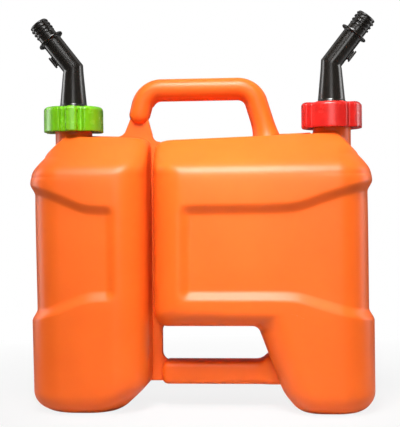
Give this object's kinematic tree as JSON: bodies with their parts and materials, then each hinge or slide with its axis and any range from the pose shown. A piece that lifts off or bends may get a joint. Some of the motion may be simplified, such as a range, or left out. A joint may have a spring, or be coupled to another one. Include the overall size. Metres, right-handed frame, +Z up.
{
  "type": "double jerrycan",
  "caption": "Blow-moulded double canister with a fuel tank and an oil tank side by side, a carry handle, a lower grip bar and bent pouring spouts held by union nuts.",
  "frame": {"origin": "on the floor, midway between the two necks, on the mould's parting plane", "axes": "+X from the oil tank to the fuel tank, +Y to the back, +Z up"},
  "size_m": [0.3702, 0.14, 0.4196],
  "materials": {
    "orange_plastic": "fine satin mould texture",
    "black_plastic": "satin",
    "green_plastic": "glossy",
    "red_plastic": "glossy",
    "gasket_rubber": "matte"
  },
  "bodies": {
    "canister": {"oil_tank": "orange_plastic", "fuel_tank": "orange_plastic", "oil_neck": "orange_plastic", "fuel_neck": "orange_plastic", "centre_web": "orange_plastic", "carry_handle": "orange_plastic", "lower_bar": "orange_plastic"},
    "oil_seal": {"oil_gasket": "gasket_rubber"},
    "fuel_seal": {"fuel_gasket": "gasket_rubber"},
    "oil_pourer": {"oil_spout": "black_plastic"},
    "fuel_pourer": {"fuel_spout": "black_plastic"},
    "oil_union": {"oil_nut": "green_plastic"},
    "fuel_union": {"fuel_nut": "red_plastic"}
  },
  "joints": [
    {"name": "oil_lift", "type": "slide", "parent": "canister", "child": "oil_seal", "axis": [0, 0, 1], "range_m": [0, 0.02]},
    {"name": "oil_swivel", "type": "hinge", "parent": "oil_seal", "child": "oil_pourer", "pos_m": [-0.139, 0, 0.316], "axis": [0, 0, 1], "continuous": true},
    {"name": "oil_nut_turn", "type": "hinge", "parent": "oil_seal", "child": "oil_union", "pos_m": [-0.139, 0, 0.31], "axis": [0, 0, 1], "range_deg": [0, 1800]},
    {"name": "fuel_lift", "type": "slide", "parent": "canister", "child": "fuel_seal", "axis": [0, 0, 1], "range_m": [0, 0.02]},
    {"name": "fuel_swivel", "type": "hinge", "parent": "fuel_seal", "child": "fuel_pourer", "pos_m": [0.139, 0, 0.316], "axis": [0, 0, 1], "continuous": true},
    {"name": "fuel_nut_turn", "type": "hinge", "parent": "fuel_seal", "child": "fuel_union", "pos_m": [0.139, 0, 0.31], "axis": [0, 0, 1], "range_deg": [0, 1800]}
  ],
  "couplings": [
    {"joint": "oil_lift", "follows": "oil_nut_turn", "m_per_rad": 0.00063661},
    {"joint": "fuel_lift", "follows": "fuel_nut_turn", "m_per_rad": 0.00063661}
  ]
}
